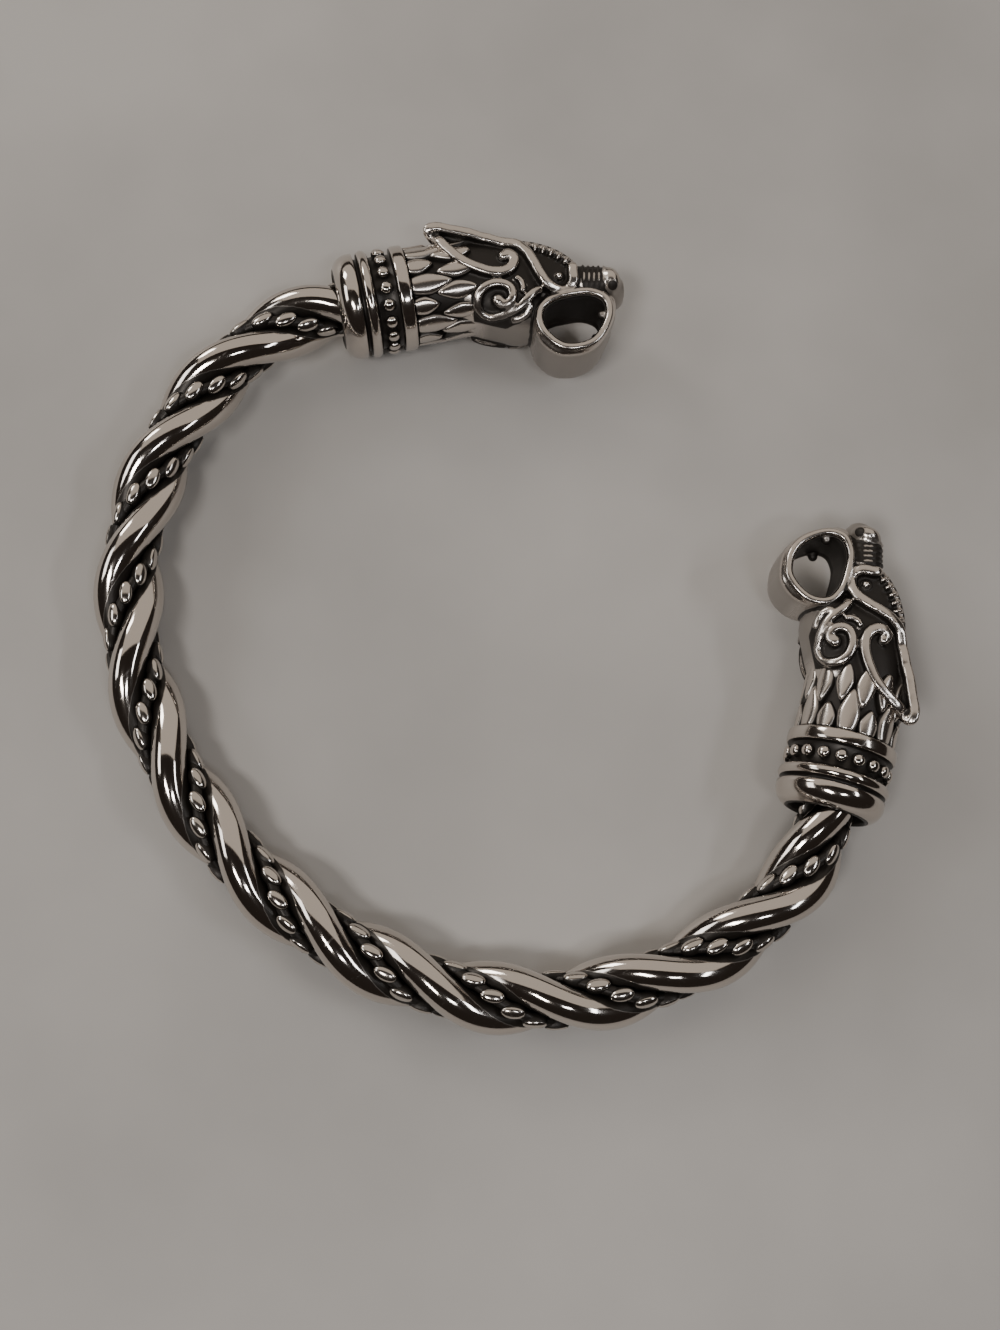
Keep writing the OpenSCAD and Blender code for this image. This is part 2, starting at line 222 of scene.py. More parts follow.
def math_node(nodes, links, kind, a, b=None, clamp=False):
    """One Math node, its inputs either numbers or sockets."""
    node = nodes.new("ShaderNodeMath")
    node.operation = kind
    node.use_clamp = clamp
    for socket, value in zip(node.inputs, (a, b)):
        if value is None:
            continue
        if isinstance(value, (int, float)):
            socket.default_value = value
        else:
            links.new(value, socket)
    return node.outputs[0]


def noise(nodes, links, place, scale, detail):
    """One Noise texture at a place, as a value from 0 to 1."""
    node = nodes.new("ShaderNodeTexNoise")
    node.inputs["Scale"].default_value = scale
    node.inputs["Detail"].default_value = detail
    links.new(place, node.inputs["Vector"])
    return node.outputs["Fac"]


def darkened_steel():
    """Group: how black a place is, from the point's own value broken up by two sizes of noise, but never
    less than the value times the floor. The floor keeps oxide dark and, on the head's throat and jaw wall,
    holds painted shade."""
    group, given, out = group_with(
        "darkening", [("Edge", "NodeSocketFloat", 0.5), ("Softness", "NodeSocketFloat", 0.16),
                      ("Patina and shade floor", "NodeSocketFloat", 0.0)],
        [("Mask", "NodeSocketFloat")])
    n, l = group.nodes, group.links
    value = n.new("ShaderNodeAttribute")
    value.attribute_name = "black"
    place = n.new("ShaderNodeTexCoord").outputs["Object"]
    fine = noise(n, l, place, 2600.0, 3.0)
    broad = noise(n, l, place, 420.0, 2.0)
    specks = math_node(n, l, "MULTIPLY", math_node(n, l, "SUBTRACT", fine, 0.5), 0.22)
    clouds = math_node(n, l, "MULTIPLY", math_node(n, l, "SUBTRACT", broad, 0.5), 0.30)
    mixed = math_node(n, l, "ADD", value.outputs["Fac"], math_node(n, l, "ADD", specks, clouds))
    away = math_node(n, l, "SUBTRACT", mixed, given.outputs["Edge"])
    mask = math_node(n, l, "ADD", math_node(n, l, "DIVIDE", away, given.outputs["Softness"]), 0.5, True)
    patina_and_shade_floor = math_node(n, l, "MULTIPLY", value.outputs["Fac"], given.outputs["Patina and shade floor"], True)
    l.new(math_node(n, l, "MAXIMUM", mask, patina_and_shade_floor), out.inputs["Mask"])
    return group


def handling_marks():
    """Group: hair scratches in three directions and soft smears, as roughness and height."""
    group, given, out = group_with(
        "handling_marks", [("Amount", "NodeSocketFloat", 1.0)],
        [("Roughness", "NodeSocketFloat"), ("Height", "NodeSocketFloat")])
    n, l = group.nodes, group.links
    place = n.new("ShaderNodeTexCoord").outputs["Object"]
    lines = None
    hairs = (((0.3, 0.2, 0.5), 2700.0), ((1.1, -0.4, 2.1), 3900.0), ((-0.7, 0.9, 3.6), 3000.0))
    for turn, scale in hairs:
        turned = n.new("ShaderNodeMapping")
        turned.inputs["Rotation"].default_value = turn
        turned.inputs["Scale"].default_value = (1.0, 0.03, 1.0)
        l.new(place, turned.inputs["Vector"])
        hair = noise(n, l, turned.outputs["Vector"], scale, 1.0)
        line = math_node(n, l, "MULTIPLY", math_node(n, l, "SUBTRACT", hair, 0.70), 9.0, True)
        lines = line if lines is None else math_node(n, l, "MAXIMUM", lines, line)
    smear = noise(n, l, place, 160.0, 4.0)
    rough = math_node(n, l, "ADD", math_node(n, l, "MULTIPLY", lines, 0.10),
                      math_node(n, l, "MULTIPLY", smear, 0.09))
    l.new(math_node(n, l, "MULTIPLY", rough, given.outputs["Amount"]), out.inputs["Roughness"])
    ripple = noise(n, l, place, 900.0, 1.5)
    height = math_node(n, l, "SUBTRACT", math_node(n, l, "MULTIPLY", ripple, 0.5),
                       math_node(n, l, "MULTIPLY", lines, 0.02))
    l.new(math_node(n, l, "MULTIPLY", height, given.outputs["Amount"]), out.inputs["Height"])
    return group


DARKENING = darkened_steel()
MARKS = handling_marks()
# How much of the metal look black oxide takes away, and how much rougher it is.
OXIDE_DULLS, OXIDE_ROUGH = 0.55, 0.26


def steel(name, bright, sooty, shine, softness=0.16, marks=1.0, patina_and_shade_floor=0.0):
    """Polished steel that turns to black oxide where the darkening mask says so; on the head's throat and jaw
    wall the mask also carries painted shade. shine is the roughness of the polish, softness the width of the
    change to black, marks how strong its scratches are, and the floor the least blackness as a share of the
    point's value."""
    material = bpy.data.materials.new(name)
    material.use_nodes = True
    n, l = material.node_tree.nodes, material.node_tree.links
    shader = n["Principled BSDF"]
    dark = n.new("ShaderNodeGroup")
    dark.node_tree = DARKENING
    dark.inputs["Softness"].default_value = softness
    dark.inputs["Patina and shade floor"].default_value = patina_and_shade_floor
    worn = n.new("ShaderNodeGroup")
    worn.node_tree = MARKS
    worn.inputs["Amount"].default_value = marks
    tone = n.new("ShaderNodeMix")
    tone.data_type = "RGBA"
    tone.inputs["A"].default_value = bright
    tone.inputs["B"].default_value = sooty
    l.new(dark.outputs["Mask"], tone.inputs["Factor"])
    l.new(tone.outputs["Result"], shader.inputs["Base Color"])
    dulled = math_node(n, l, "MULTIPLY", dark.outputs["Mask"], OXIDE_DULLS)
    metal = math_node(n, l, "SUBTRACT", 1.0, dulled)
    l.new(metal, shader.inputs["Metallic"])
    rough = math_node(n, l, "ADD", math_node(n, l, "ADD", worn.outputs["Roughness"], shine),
                      math_node(n, l, "MULTIPLY", dark.outputs["Mask"], OXIDE_ROUGH), True)
    l.new(rough, shader.inputs["Roughness"])
    relief = n.new("ShaderNodeBump")
    relief.inputs["Strength"].default_value = 0.5
    relief.inputs["Distance"].default_value = 0.00002
    l.new(worn.outputs["Height"], relief.inputs["Height"])
    l.new(relief.outputs["Normal"], shader.inputs["Normal"])
    return material


ROD_STEEL = steel("rod_steel", (0.65, 0.60, 0.555, 1), (0.030, 0.025, 0.021, 1), 0.05)


def smooth_rod(phase):
    """A circle carried along its strand: c + r (cos v up + sin v sideways), v in degrees from the top,
    black where it dips into the groove."""
    round_it = 48
    s = np.linspace(-ROPE_IN, 2 * HALF_L + ROPE_IN, 900)
    centres, up, _ = strand_centre(s, ROD_OFF, phase)
    t = unit(np.gradient(centres, s, axis=0))
    up = square_to(up, t)
    verts, quads, tris = tube(centres, up, np.cross(t, up), ROD_R, ROD_R, round_it)
    v = np.linspace(0, 360, round_it, endpoint=False)
    off_top = np.abs((v + 180) % 360 - 180)
    black = np.tile(step(off_top, 64, 98), len(s))
    return lay_down(verts), quads, tris, np.append(black, [1, 1])


for end_name, turn in (("a", 0.0), ("b", 180.0)):
    steel_piece("rod_" + end_name, *smooth_rod(turn), ROD_STEEL, "smooth_rod_" + end_name, "polished_steel")

# Beaded wires. Each fills one groove of the rope with a row of long oval grains
# that lean along the rope, on a blackened core. Only the tops of the grains are
# polished.
WIRE_OFF, CORE_DOWN, GRAIN_DOWN = 2.04, 0.22, 0.05
GRAIN_PITCH, GRAIN_LEAN = 2.22, 0.1
GRAIN_LONG, GRAIN_WIDE, GRAIN_HIGH = 1.14, 0.64, 0.66
CORE_ACROSS, CORE_HIGH = 0.46, 0.50
WIRE_STEEL = steel("wire_steel", (0.63, 0.585, 0.54, 1), (0.026, 0.022, 0.019, 1), 0.11, softness=0.2)


def copies(verts, quads, tris):
    """The faces of one closed shape given to each of its copies; verts is copies x points x 3."""
    shift = (np.arange(len(verts)) * verts.shape[1])[:, None, None]
    return turned_out(verts.reshape(-1, 3), (quads[None] + shift).reshape(-1, 4),
                      (tris[None] + shift).reshape(-1, 3))


def beaded_wire(phase):
    """A thin core tube, and grains that lean from the rope's line towards their strand's: c + long x
    along + wide r across + high r up, where r is sqrt(1 - x2) and the top and sides are flattened."""
    s = np.linspace(-ROPE_IN, 2 * HALF_L + ROPE_IN, 700)
    centres, up, _ = strand_centre(s, WIRE_OFF - CORE_DOWN, phase)
    t = unit(np.gradient(centres, s, axis=0))
    up = square_to(up, t)
    core = tube(centres, up, np.cross(t, up), CORE_ACROSS, CORE_HIGH, 16)
    turn_l = math.hypot(LAY, 2 * math.pi * WIRE_OFF)
    count = int(round((2 * HALF_L + 2 * ROPE_IN) / LAY * turn_l / GRAIN_PITCH))
    g = (np.arange(count) + 0.5) / count * (2 * HALF_L + 2 * ROPE_IN) - ROPE_IN
    middle, lift, along = strand_centre(g, WIRE_OFF - GRAIN_DOWN, phase)
    helix = np.stack([strand_centre(g + d, WIRE_OFF, phase)[0] for d in (-0.1, 0.1)])
    lean = unit((1 - GRAIN_LEAN) * along + GRAIN_LEAN * unit(helix[1] - helix[0]))
    lift = square_to(lift, lean)
    across = np.cross(lean, lift)
    nu, nv = 15, 16
    u = np.linspace(0, np.pi, nu + 2)[1:-1]
    v = np.linspace(0, 2 * np.pi, nv, endpoint=False)
    x = -np.cos(u)
    r = np.sin(u)
    wide = r[:, None] ** 0.95 * bulged(np.cos(v), 0.85)
    tall = r[:, None] ** 0.5 * bulged(np.sin(v), 0.6)
    grid = (middle[:, None, None] + GRAIN_LONG * x[None, :, None, None] * lean[:, None, None]
            + GRAIN_WIDE * wide[None, :, :, None] * across[:, None, None]
            + GRAIN_HIGH * tall[None, :, :, None] * lift[:, None, None])
    ends = np.stack([middle - GRAIN_LONG * lean, middle + GRAIN_LONG * lean], 1)
    grains = copies(np.concatenate([grid.reshape(count, -1, 3), ends], 1), *tube_faces(nu, nv))
    black = np.tile(np.append(1 - step(tall.ravel(), 0.45, 0.80), [1, 1]), count)
    verts, quads, tris = joined([core, grains])
    return lay_down(verts), quads, tris, np.append(np.ones(len(core[0])), black)


for end_name, turn in (("a", 90.0), ("b", 270.0)):
    steel_piece("wire_" + end_name, *beaded_wire(turn), WIRE_STEEL, "beaded_wire_" + end_name,
                "blackened_steel")

# Collars. A cast socket takes the rope's end: a rounded dome, a groove, a torus
# moulding, a sunk band with a row of round beads, and a rim next to the head.
BAND_W, RIM_W = 2.2, 1.25
DOME_R, BAND_R, RIM_R, BORE_R = 5.05, 4.40, 5.10, 3.42
BAND_AT = DOME_L + GROOVE_W + TORUS_D
BEADS, BEAD_R, BEAD_LIFT = 18, 0.60, 0.12
COLLAR_STEEL = steel("collar_steel", (0.65, 0.60, 0.555, 1), (0.026, 0.022, 0.019, 1), 0.07)


def end_place(k, p):
    """Takes points drawn along an end (x from its mouth, y outward) to that end of the ring."""
    a = math.radians(-MOUTH_H if k > 0 else MOUTH_H - 180)
    x, y, z = p[:, 0], p[:, 1] * k, p[:, 2] * k
    c, s = math.cos(a), math.sin(a)
    return lay_down(np.stack([x * c - y * s + k * MOUTH[0], x * s + y * c - MOUTH[1], z], -1))


def collar_profile():
    """Columns: place along, radius, blackness. Arcs for dome, torus and rim, short steps between."""
    q = np.linspace(0.16, np.pi / 2, 14)
    dome = np.stack([1.7 - 1.7 * np.cos(q), DOME_R - 1.75 + 1.75 * np.sin(q), 1 - step(q, 0.2, 0.5)], -1)
    groove_x = np.array([DOME_L - 0.06, DOME_L, DOME_L + 0.05, DOME_L + GROOVE_W])
    groove = np.stack([groove_x, [DOME_R, DOME_R - 0.12, DOME_R - 0.6, DOME_R - 0.62],
                       [0, 0.7, 1, 1]], -1)
    q = np.linspace(-0.35 * np.pi, 0.35 * np.pi, 15)
    torus = np.stack([TORUS_AT + TORUS_D / 2 * np.sin(q),
                      COLLAR_R - TORUS_D / 2 + TORUS_D / 2 * np.cos(q), step(np.abs(q), 0.8, 1.1)], -1)
    band = np.stack([BAND_AT + BAND_W * np.array([0.02, 0.06, 0.5, 0.94, 0.98]),
                     np.array([BAND_R + 0.1, BAND_R, BAND_R, BAND_R, BAND_R + 0.1]), np.ones(5)], -1)
    q = np.linspace(-np.pi / 2, np.pi / 2, 13)
    rim = np.stack([BAND_AT + BAND_W + RIM_W / 2 + RIM_W / 2 * bulged(np.sin(q), 0.6),
                    RIM_R - 0.28 + 0.28 * np.cos(q) ** 0.6, step(np.abs(q), 1.15, 1.5)], -1)
    bore = np.array([[COLLAR_L - 0.02, BORE_R + 0.9, 1], [COLLAR_L - 0.02, BORE_R, 1], [0.3, BORE_R, 1]])
    return np.concatenate([dome, groove, torus, band, rim, bore])


def ring_quads(n, m):
    """Quads of a grid of n by m points that closes on itself both ways."""
    i = np.arange(n)[:, None]
    j = np.arange(m)[None]
    return np.stack([i * m + j, i * m + (j + 1) % m, (i + 1) % n * m + (j + 1) % m, (i + 1) % n * m + j],
                    -1).reshape(-1, 4)


def collar(k):
    """The profile turned round the axis, closed on itself, and a ring of beads sunk in the band."""
    p = collar_profile()
    n, m = len(p), 192
    v = np.linspace(0, 2 * np.pi, m, endpoint=False)
    body = np.stack([np.repeat(p[:, 0], m), (p[:, 1:2] * np.cos(v)).ravel(),
                     (p[:, 1:2] * np.sin(v)).ravel()], -1)
    body = turned_out(body, ring_quads(n, m), np.zeros((0, 3), int))
    nu, nv = 15, 20
    u = np.linspace(0, np.pi, nu + 2)[1:-1]
    w = np.linspace(0, 2 * np.pi, nv, endpoint=False)
    ball = np.stack([(np.sin(u)[:, None] * np.cos(w)).ravel(), (np.sin(u)[:, None] * np.sin(w)).ravel(),
                     np.repeat(np.cos(u), nv)], -1)
    ball = np.concatenate([ball, [[0, 0, 1], [0, 0, -1]]]) * BEAD_R
    ball[:, 2] = BEAD_R * bulged(ball[:, 2] / BEAD_R, 0.6)
    a = (np.arange(BEADS) + 0.5) * 2 * np.pi / BEADS
    high = ball[:, 2] + BAND_R + BEAD_LIFT
    beads = np.stack([np.broadcast_to(BAND_AT + BAND_W / 2 + ball[:, 0], (BEADS, len(ball))),
                      ball[:, 1] * np.cos(a)[:, None] - high * np.sin(a)[:, None],
                      ball[:, 1] * np.sin(a)[:, None] + high * np.cos(a)[:, None]], -1)
    beads = copies(beads, *tube_faces(nu, nv))
    black = np.concatenate([np.repeat(p[:, 2], m), np.tile(1 - step(ball[:, 2] / BEAD_R, 0.3, 0.6), BEADS)])
    verts, quads, tris = joined([body, beads])
    return turned_out(end_place(k, verts), quads, tris) + (black,)


for end_name, k in (("left", -1), ("right", 1)):
    steel_piece("socket_" + end_name, *collar(k), COLLAR_STEEL, "collar_" + end_name, "blackened_steel")

# Beast heads. One casting each: a neck cut with two rows of leaves, a cheek
# with a scroll, long hollow ears, a toothed crown over a bead eye, a ribbed nose
# and an open jaw loop. The hollows are blackened and the relief is polished.
NECK_FROM = 2.35
DRAW_FROM = COLLAR_L - NECK_FROM
# Sections of the body: place along, and its top, bottom and half width there.
SECTION_AT = np.array([2.42, 4.9, 7.75, 10.15, 12.35, 13.45, 14.05, 14.75, 15.75, 16.75, 18.25, 19.35, 21.05,
                       22.25, 23.05])
SECTION_TOP = np.array([4.05, 4.05, 3.95, 3.45, 2.75, 2.6, 2.5, 2.35, 1.95, 1.45, 0.25, -0.5, -0.85,
                        -1.45, -2.35])
SECTION_LOW = np.array([-4.05, -4.1, -4.6, -5.6, -6.45, -6.5, -5.95, -4.75, -4.2, -4.05, -3.95, -4.1, -4.4,
                        -4.65, -4.3])
SECTION_WIDE = np.array([4.05, 4.05, 4.1, 4.1, 3.9, 3.75, 3.55, 3.3, 3.05, 2.85, 2.8, 2.85, 2.8, 2.6, 1.95])


def eased(x, at, values, steady=False):
    """A smooth curve through values: cubic spans, their slopes from the neighbours. A steady one never
    rises or falls past the values beside it."""
    slope = np.gradient(values, at)
    if steady:
        d = np.diff(values) / np.diff(at)
        both = d[:-1] * d[1:]
        inner = np.where(both > 0, 2 * both / np.where(both > 0, d[:-1] + d[1:], 1), 0)
        slope = np.concatenate([d[:1], inner, d[-1:]])
    i = np.clip(np.searchsorted(at, x) - 1, 0, len(at) - 2)
    w = at[i + 1] - at[i]
    t = np.clip((x - at[i]) / w, 0, 1)
    return ((2 * t**3 - 3 * t**2 + 1) * values[i] + (t**3 - 2 * t**2 + t) * w * slope[i]
            + (3 * t**2 - 2 * t**3) * values[i + 1] + (t**3 - t**2) * w * slope[i + 1])


def head_section(x):
    """Top, bottom and half width of the head's body at places along it."""
    return [eased(x, SECTION_AT, v, True) for v in (SECTION_TOP, SECTION_LOW, SECTION_WIDE)]


def squareness(x):
    """1 on the round neck, less on the flat-sided cheek."""
    return np.interp(x, [6.5, 9.0, 18.0, 22.0], [1.0, 0.72, 0.72, 0.9])


def head_side(x, y):
    """Side of the body: wide (1 - |q| ** m) ** (1 / m), q going from 0 at mid height to 1 at the edge and
    m being 2 / squareness."""
    top, low, wide = head_section(x)
    q = np.minimum(0.97, np.abs(y - (top + low) / 2) / ((top - low) / 2))
    m = 2 / squareness(x)
    return wide * (1 - q**m) ** (1 / m)


def head_body():
    """Rounded sections carried along the head."""
    x = np.linspace(SECTION_AT[0], SECTION_AT[-1], 100)
    top, low, wide = head_section(x)
    one = np.ones((len(x), 1))
    return tube(np.stack([x, (top + low) / 2, 0 * x], -1), one * [0, 1, 0], one * [0, 0, 1],
                (top - low) / 2, wide, 64, squareness(x))


def smooth_path(points, count):
    """A rounded line through chosen points, evenly spaced along it."""
    points = np.asarray(points, float)
    along = np.concatenate([[0], np.cumsum(np.linalg.norm(np.diff(points, axis=0), axis=1))])
    t = np.linspace(0, along[-1], count)
    return np.stack([eased(t, along, points[:, c]) for c in range(points.shape[1])], -1)


def on_side(p, k):
    """Lifts drawn points [x, y, lift] off the head's side, to the side that k names."""
    return np.stack([p[:, 0], p[:, 1], (head_side(p[:, 0], p[:, 1]) + p[:, 2]) * k], -1)


def relief_line(points, k, wide, high, count):
    """A flat-topped band along a line on the head's side, turned with the surface, drawn in at its ends."""
    path = smooth_path(points, count)
    c = on_side(path, k)
    t = unit(np.gradient(c, axis=0))
    fall = [head_side(path[:, 0] - dx, path[:, 1] - dy) - head_side(path[:, 0] + dx, path[:, 1] + dy)
            for dx, dy in ((0.1, 0), (0, 0.1))]
    close = 1 - step(path[:, 2], 0.5, 0.9)
    lean = np.stack([close * np.clip(5 * f, -0.8, 0.8) for f in fall] + [k + 0 * close], -1)
    across = unit(np.cross(t, lean))
    end = np.minimum(np.arange(count), np.arange(count)[::-1]) / 6
    thin = np.sqrt(1 - (1 - np.clip(end + 0.05, 0, 1)) ** 2)
    return tube(c, across, np.cross(across, t), wide * thin, high * thin, 20, 0.5), c


# Columns: along, height in the drawing of the head's side, lift off the body.
EAR_LINE = [
    (11.65, 0.62, 0.35), (12.14, 0.85, 0.42), (12.56, 0.5, 0.45), (12.59, -0.15, 0.45), (12.19, -0.75, 0.4),
    (11.37, -1.08, 0.35), (10.39, -0.98, 0.35), (8.96, -0.3, 0.4), (7.54, 0.8, 0.5), (6.5, 2.35, 0.95),
    (5.79, 3.75, 2.0), (5.24, 4.85, 2.85), (5.79, 4.9, 2.9), (7.21, 4.45, 2.6), (8.86, 3.85, 2.05),
    (10.93, 3.0, 1.4), (12.44, 2.4, 1.0), (13.44, 1.85, 0.75), (14.04, 1.0, 0.5), (14.44, -0.2, 0.45),
    (14.84, -1.6, 0.5), (15.44, -2.75, 0.55), (16.34, -3.25, 0.55), (17.44, -3.3, 0.5), (17.99, -2.75, 0.5),
    (18.14, -1.7, 0.45), (18.44, -0.75, 0.35)]
SCROLL = [
    (14.74, -3.15, 0.3), (13.94, -3.45, 0.35), (13.14, -4.05, 0.3), (12.03, -4.75, 0.2), (10.61, -4.98, 0.15),
    (9.18, -4.7, 0.15), (8.36, -3.95, 0.3), (8.55, -2.95, 0.3), (9.46, -2.25, 0.3), (10.61, -2.17, 0.3),
    (11.57, -2.65, 0.3), (11.78, -3.45, 0.3), (11.32, -4.15, 0.35), (10.55, -4.25, 0.35), (10.11, -3.8, 0.4)]
TENDRILS = [
    ([(12.35, -1.65, 0.15), (12.85, -2.2, 0.2), (12.9, -2.95, 0.2), (12.7, -3.4, 0.15)], 0.26),
    ([(11.2, -5.5, 0.1), (12.1, -5.55, 0.15), (12.95, -5.2, 0.25), (13.25, -4.75, 0.3),
      (12.9, -4.5, 0.25)], 0.3)]
# Brow line, the ribs' places on the nose, and the jaw loop's hole and outside round its middle.
CROWN = [(13.54, 2.35), (14.44, 2.1), (15.64, 1.6), (16.74, 0.95), (17.74, 0.05), (18.39, -0.75)]
RIBS = 19.15 + 0.5 * np.arange(5)
JAW_MID = np.array([17.34, -6.7])
JAW_HOLE = np.array([
    (14.34, -5.9), (14.74, -5.0), (15.74, -4.45), (17.74, -4.25), (19.34, -4.45), (20.39, -5.3), (20.44, -6.3),
    (19.74, -7.65), (18.34, -8.85), (17.04, -9.05), (15.74, -8.75), (14.74, -7.65), (14.34, -6.7)])
JAW_OUT = np.array([
    (13.34, -5.6), (13.84, -4.4), (15.24, -3.7), (17.74, -3.5), (20.04, -3.7), (21.74, -4.9), (21.54, -6.4),
    (20.44, -8.2), (18.74, -9.85), (16.84, -10.3), (14.84, -9.8), (13.54, -8.3)])
AROUND = np.linspace(0, 2 * np.pi, 120, endpoint=False)


def jaw_radius(outline, angle):
    """Distance of an outline of the jaw loop from its middle, in the given directions."""
    line = smooth_path(np.concatenate([outline[-3:], outline, outline[:4]]), 500) - JAW_MID
    a = np.arctan2(line[:, 1], line[:, 0])
    order = np.argsort(a)
    return np.interp(angle, a[order], np.hypot(line[:, 0], line[:, 1])[order], period=2 * np.pi)


def jaw_ring(inner, outer, half, at, power):
    """A band round the jaw's middle, from radius inner to outer and half deep to both sides of z = at."""
    v = np.linspace(0, 2 * np.pi, 40, endpoint=False)
    cv, sv = bulged(np.cos(v), power), bulged(np.sin(v), power)
    r = (inner + outer)[:, None] / 2 + (outer - inner)[:, None] / 2 * cv
    verts = np.stack([JAW_MID[0] + r * np.cos(AROUND)[:, None], JAW_MID[1] + r * np.sin(AROUND)[:, None],
                      at + half * np.broadcast_to(sv, r.shape)], -1).reshape(-1, 3)
    return turned_out(verts, ring_quads(len(AROUND), len(v)), np.zeros((0, 3), int))


# The neck's leaves: how many in a row, the radius that they stand on and how far they rise.
LEAVES = 14
LEAF_FROM, LEAF_HIGH = 4.15, 0.62
# Small forms: place along and up, and for the nose, nostril and fang out from the middle plane too.
EYE, SCROLL_KNOB, EAR_KNOB = (16.8, -1.9), (10.3, -3.75), (11.75, 0.62)
NOSE, NOSTRIL, FANG = (21.82, -2.8, 1.7), (21.75, -3.75, 2.9), (20.05, -6.5, 2.6)
# Half the depth of the jaw loop and of the crown, and the grid that the casting is joined on.
JAW_HALF, CROWN_HALF = 3.08, 2.9
VOXEL = 0.127
# How black the jaw's outer wall is made, partly patina and partly painted shade, and the throat, painted shade
# where it faces down.
WALL_PATINA_AND_SHADE, THROAT_PAINTED_SHADE = 0.36, 0.38


def lump(centre, size, turn=0.0, power=1.0):
    """An oval lump: (sin u cos v, sin u sin v, cos u), each raised to power, sized and turned in profile."""
    nu, nv = 14, 18
    u = np.linspace(0, np.pi, nu + 2)[1:-1]
    v = np.linspace(0, 2 * np.pi, nv, endpoint=False)
    p = np.stack([np.sin(u)[:, None] * np.cos(v), np.sin(u)[:, None] * np.sin(v),
                  np.broadcast_to(np.cos(u)[:, None], (nu, nv))], -1).reshape(-1, 3)
    p = np.concatenate([p, [[0, 0, 1], [0, 0, -1]]])
    p = bulged(p, power) * np.asarray(size)
    c, s = math.cos(turn), math.sin(turn)
    p = np.stack([p[:, 0] * c - p[:, 1] * s, p[:, 0] * s + p[:, 1] * c, p[:, 2]], -1) + np.asarray(centre)
    return turned_out(p, *tube_faces(nu, nv))


def leaf(x0, x1, widest, half_wide, base, turn):
    """A flat-topped leaf on the neck from x0 to x1: base's share of the width, the whole of it at the
    widest share of the length, then a point. It is turned round the neck's axis."""
    nu, nv = 24, 16
    u = np.linspace(0, 1, nu)
    x = x0 + (x1 - x0) * u
    out = base + (1 - base) * np.sin(np.clip(u / widest, 0, 1) * np.pi / 2) ** 0.7
    to_point = 1 - np.clip((u - widest) / (1 - widest), 0, 1) ** 1.35
    wide = half_wide * np.where(u < widest, out, to_point) + 0.02
    v = np.linspace(0, 2 * np.pi, nv, endpoint=False)
    tall = LEAF_HIGH * np.clip(wide / half_wide * 2.5, 0, 1) ** 0.5
    y = wide[:, None] * bulged(np.cos(v), 0.7)
    z = LEAF_FROM + tall[:, None] * bulged(np.sin(v), 0.45) - 0.11 * (y / half_wide) ** 2
    c, s = math.cos(turn), math.sin(turn)
    grid = np.stack([np.broadcast_to(x[:, None], y.shape), y * c - z * s, y * s + z * c], -1)
    verts = np.concatenate([grid.reshape(-1, 3), grid[:1].mean(1), grid[-1:].mean(1)])
    return turned_out(verts, *tube_faces(nu, nv))


def neck_leaves():
    """Two rows of leaves: long and short ones standing at the rim, and a row that hangs between their
    tips. Columns: from, to, widest, half width, base."""
    standing = [(2.46, 6.6, 0.40, 1.04, 0.7), (2.46, 4.95, 0.40, 0.93, 0.75)]
    hanging = [(8.8, 4.85, 0.5, 0.86, 0.0), (8.8, 4.55, 0.5, 0.94, 0.0)]
    step_round = 2 * np.pi / LEAVES
    made = [leaf(*standing[i % 2], (i + 0.5) * step_round) for i in range(LEAVES)]
    made += [leaf(*hanging[i % 2], i * step_round) for i in range(LEAVES)]
    return joined(made)


def ear_plate(k):
    """The ear's dish from tip to curl, between its rims; it dips in and sinks into the cheek at the front."""
    n, m = 60, 16
    low = on_side(smooth_path(EAR_LINE[4:12], n), 1)
    high = on_side(smooth_path(EAR_LINE[18:10:-1], n), 1)
    f = np.linspace(0, 1, m)
    fore = step(np.linspace(1, 0, n), 0.35, 0.75)[:, None]
    dish = 0.8 * np.sin(f * np.pi) ** 0.6 * np.clip(np.linspace(1, 0, n) * 5, 0, 1)[:, None] + 0.1
    face = low[:, None] + (high - low)[:, None] * f[None, :, None]
    under = head_side(face[..., 0].ravel(), face[..., 1].ravel()).reshape(n, m) - 0.4
    z = (face[..., 2] - dish) * (1 - fore) + under * fore
    thick = 0.9 + 1.8 * np.linspace(1, 0, n)[:, None]
    front = np.stack([face[..., 0], face[..., 1], z], -1)
    back = np.stack([face[..., 0], face[..., 1], z - thick], -1)
    grid = np.concatenate([front, back[:, ::-1]], 1) * [1, 1, k]
    verts = np.concatenate([grid.reshape(-1, 3), grid[:1].mean(1), grid[-1:].mean(1)])
    quads, tris = tube_faces(n, 2 * m)
    return turned_out(verts, quads, tris)


